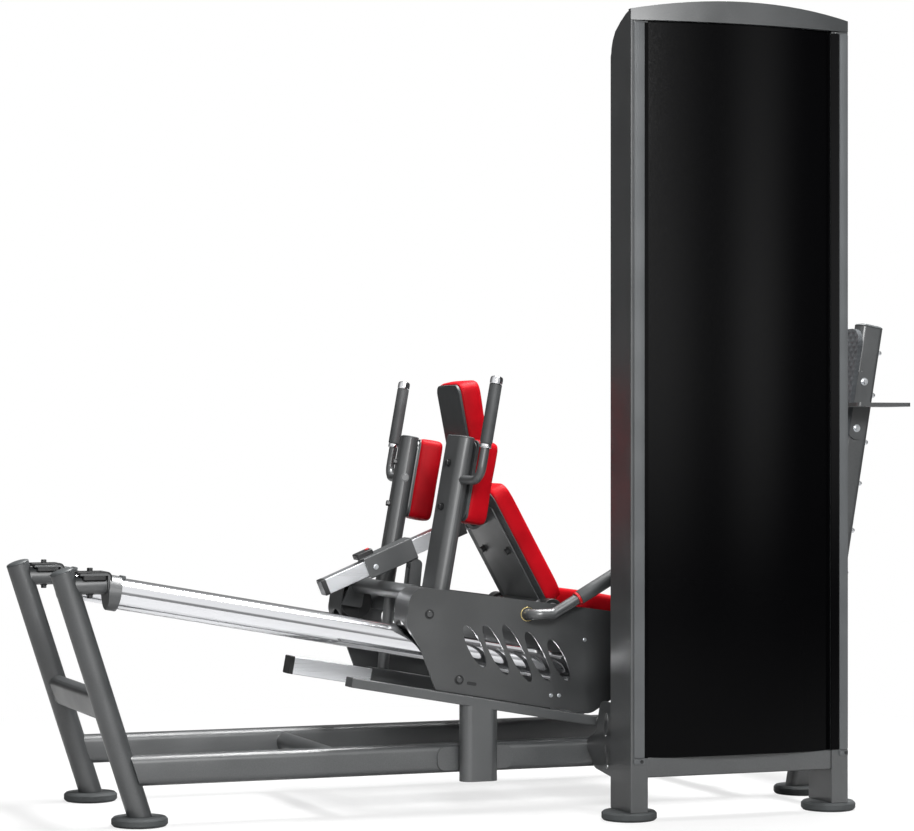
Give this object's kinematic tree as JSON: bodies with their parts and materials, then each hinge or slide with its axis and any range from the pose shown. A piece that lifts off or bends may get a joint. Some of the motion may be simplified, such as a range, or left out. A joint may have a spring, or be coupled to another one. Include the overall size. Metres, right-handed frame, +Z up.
{
  "type": "leg press machine",
  "caption": "Selectorised leg press: a padded seat carriage on two inclined chrome rails, pushed away from a fixed foot plate, with a shrouded weight tower at its side.",
  "frame": {"origin": "on the floor under the middle of the machine's box", "axes": "+X along the rails' plan towards the foot plate, +Y away from the weight tower to the user's left, +Z up"},
  "size_m": [2.2, 0.9988, 1.9663],
  "materials": {
    "graphite_paint": "graphite powder coat, fine texture",
    "chrome": "polished chrome",
    "foot_rubber": "moulded grey rubber",
    "plate_rubber": "ribbed rubber",
    "black_gloss": "black acrylic",
    "black_nylon": "moulded nylon",
    "black_iron": "black coated iron",
    "red_vinyl": "grained red vinyl over foam",
    "red_plastic": "moulded red plastic"
  },
  "bodies": {
    "frame": {"rear_leg_right": "graphite_paint", "rear_leg_left": "graphite_paint", "rear_crossbar": "graphite_paint", "rail_clamp_right": "graphite_paint", "rail_clamp_left": "graphite_paint", "rail_right": "chrome", "rail_left": "chrome", "foot_rear_right": "foot_rubber", "foot_rear_left": "foot_rubber", "foot_front_right": "foot_rubber", "foot_front_left": "foot_rubber", "foot_tower_rear": "foot_rubber", "foot_tower_front": "foot_rubber", "base_rail_right": "graphite_paint", "base_rail_left": "graphite_paint", "foot_upright_right": "graphite_paint", "foot_upright_left": "graphite_paint", "foot_plate": "plate_rubber", "accessory_shelf": "graphite_paint", "guide_beam": "graphite_paint", "tower_post_rear": "graphite_paint", "tower_post_front": "graphite_paint", "tower_base_beam": "graphite_paint", "tower_cap": "graphite_paint", "tower_cover_outer": "black_gloss", "tower_cover_inner": "black_gloss", "tower_head_beam": "graphite_paint", "tower_link": "graphite_paint", "guide_rod_rear": "chrome", "guide_rod_front": "chrome", "resting_weights": "black_iron", "lift_cable": "black_nylon"},
    "carriage": {"side_plate_right": "graphite_paint", "side_plate_left": "graphite_paint", "rear_cross_tube": "graphite_paint", "post_base_tube": "graphite_paint", "seat_frame": "graphite_paint", "seat_pad": "red_vinyl", "shoulder_post_right": "graphite_paint", "shoulder_post_left": "graphite_paint", "shoulder_pad_right": "red_vinyl", "shoulder_pad_left": "red_vinyl"},
    "lifted_stack": {"lifted_weights": "black_iron"},
    "selector": {"selector_pin": "red_plastic"},
    "backrest": {"back_frame": "graphite_paint", "back_pad": "red_vinyl", "head_pad": "red_vinyl"},
    "sleeve": {"adjuster_sleeve": "graphite_paint"},
    "adjuster": {"adjuster_bar": "chrome"},
    "start_slide": {"start_bar": "chrome"},
    "lever": {"release_lever": "graphite_paint"},
    "roller_rear_right": {"roller_rear_right": "black_nylon"},
    "roller_front_right": {"roller_front_right": "black_nylon"},
    "roller_rear_left": {"roller_rear_left": "black_nylon"},
    "roller_front_left": {"roller_front_left": "black_nylon"},
    "turn_pulley": {"turn_pulley": "black_nylon"},
    "low_pulley": {"low_pulley": "black_nylon"},
    "top_pulley_front": {"top_pulley_front": "black_nylon"},
    "top_pulley_middle": {"top_pulley_middle": "black_nylon"}
  },
  "joints": [
    {"name": "carriage_slide", "type": "slide", "parent": "frame", "child": "carriage", "axis": [-0.9842, 0, 0.1771], "range_m": [0, 0.6], "deforming": ["lift_cable"]},
    {"name": "weight_lift", "type": "slide", "parent": "frame", "child": "lifted_stack", "axis": [0, 0, 1], "range_m": [-0.001, 0.601]},
    {"name": "selector_pull", "type": "slide", "parent": "lifted_stack", "child": "selector", "axis": [0, 1, 0], "range_m": [0, 0.1]},
    {"name": "backrest_tilt", "type": "hinge", "parent": "carriage", "child": "backrest", "pos_m": [0.19454, 0.15263, 0.48517], "axis": [0, 1, 0], "range_deg": [-6, 4]},
    {"name": "sleeve_swivel", "type": "hinge", "parent": "carriage", "child": "sleeve", "pos_m": [-0.10689, 0.15263, 0.5945], "axis": [0, 1, 0], "range_deg": [-2, 3]},
    {"name": "adjuster_slide", "type": "slide", "parent": "sleeve", "child": "adjuster", "axis": [0.9242, 0, 0.3819], "range_m": [-0.032, 0.022]},
    {"name": "start_slide", "type": "slide", "parent": "carriage", "child": "start_slide", "axis": [0.9842, 0, -0.1771], "range_m": [-0.06, 0.15]},
    {"name": "release_lever", "type": "hinge", "parent": "carriage", "child": "lever", "pos_m": [0.08024, -0.16737, 0.48237], "axis": [0, 1, 0], "range_deg": [-20, 0], "stiffness_Nm_per_rad": 4, "springref_deg": 14.32},
    {"name": "roller_rear_right", "type": "hinge", "parent": "carriage", "child": "roller_rear_right", "pos_m": [-0.18166, -0.09737, 0.48936], "axis": [0, 1, 0], "range_deg": [-900, 10]},
    {"name": "roller_front_right", "type": "hinge", "parent": "carriage", "child": "roller_front_right", "pos_m": [0.22875, -0.09737, 0.41551], "axis": [0, 1, 0], "range_deg": [-900, 10]},
    {"name": "roller_rear_left", "type": "hinge", "parent": "carriage", "child": "roller_rear_left", "pos_m": [-0.18166, 0.40263, 0.48936], "axis": [0, 1, 0], "range_deg": [-900, 10]},
    {"name": "roller_front_left", "type": "hinge", "parent": "carriage", "child": "roller_front_left", "pos_m": [0.22875, 0.40263, 0.41551], "axis": [0, 1, 0], "range_deg": [-900, 10]},
    {"name": "turn_pulley", "type": "hinge", "parent": "frame", "child": "turn_pulley", "pos_m": [0.69582, 0.10763, 0.19583], "axis": [0.1771, 0, 0.9842], "range_deg": [-10, 780]},
    {"name": "low_pulley", "type": "hinge", "parent": "frame", "child": "low_pulley", "pos_m": [0.74011, -0.36237, 0.23286], "axis": [1, 0, 0], "range_deg": [-10, 780]},
    {"name": "top_pulley_front", "type": "hinge", "parent": "frame", "child": "top_pulley_front", "pos_m": [0.69511, -0.40737, 1.8], "axis": [0, 1, 0], "range_deg": [-10, 780]},
    {"name": "top_pulley_middle", "type": "hinge", "parent": "frame", "child": "top_pulley_middle", "pos_m": [0.55511, -0.40737, 1.8], "axis": [0, 1, 0], "range_deg": [-10, 780]}
  ],
  "couplings": [
    {"joint": "weight_lift", "follows": "carriage_slide", "ratio": 1},
    {"joint": "roller_rear_right", "follows": "carriage_slide", "rad_per_m": -25.641},
    {"joint": "roller_front_right", "follows": "carriage_slide", "rad_per_m": -25.641},
    {"joint": "roller_rear_left", "follows": "carriage_slide", "rad_per_m": -25.641},
    {"joint": "roller_front_left", "follows": "carriage_slide", "rad_per_m": -25.641},
    {"joint": "turn_pulley", "follows": "carriage_slide", "rad_per_m": 22.222},
    {"joint": "low_pulley", "follows": "carriage_slide", "rad_per_m": 22.222},
    {"joint": "top_pulley_front", "follows": "carriage_slide", "rad_per_m": 22.222},
    {"joint": "top_pulley_middle", "follows": "carriage_slide", "rad_per_m": 22.222},
    {"joint": "sleeve_swivel", "follows": "backrest_tilt", "ratio": -0.371},
    {"joint": "adjuster_slide", "follows": "backrest_tilt", "m_per_rad": 0.2744}
  ]
}
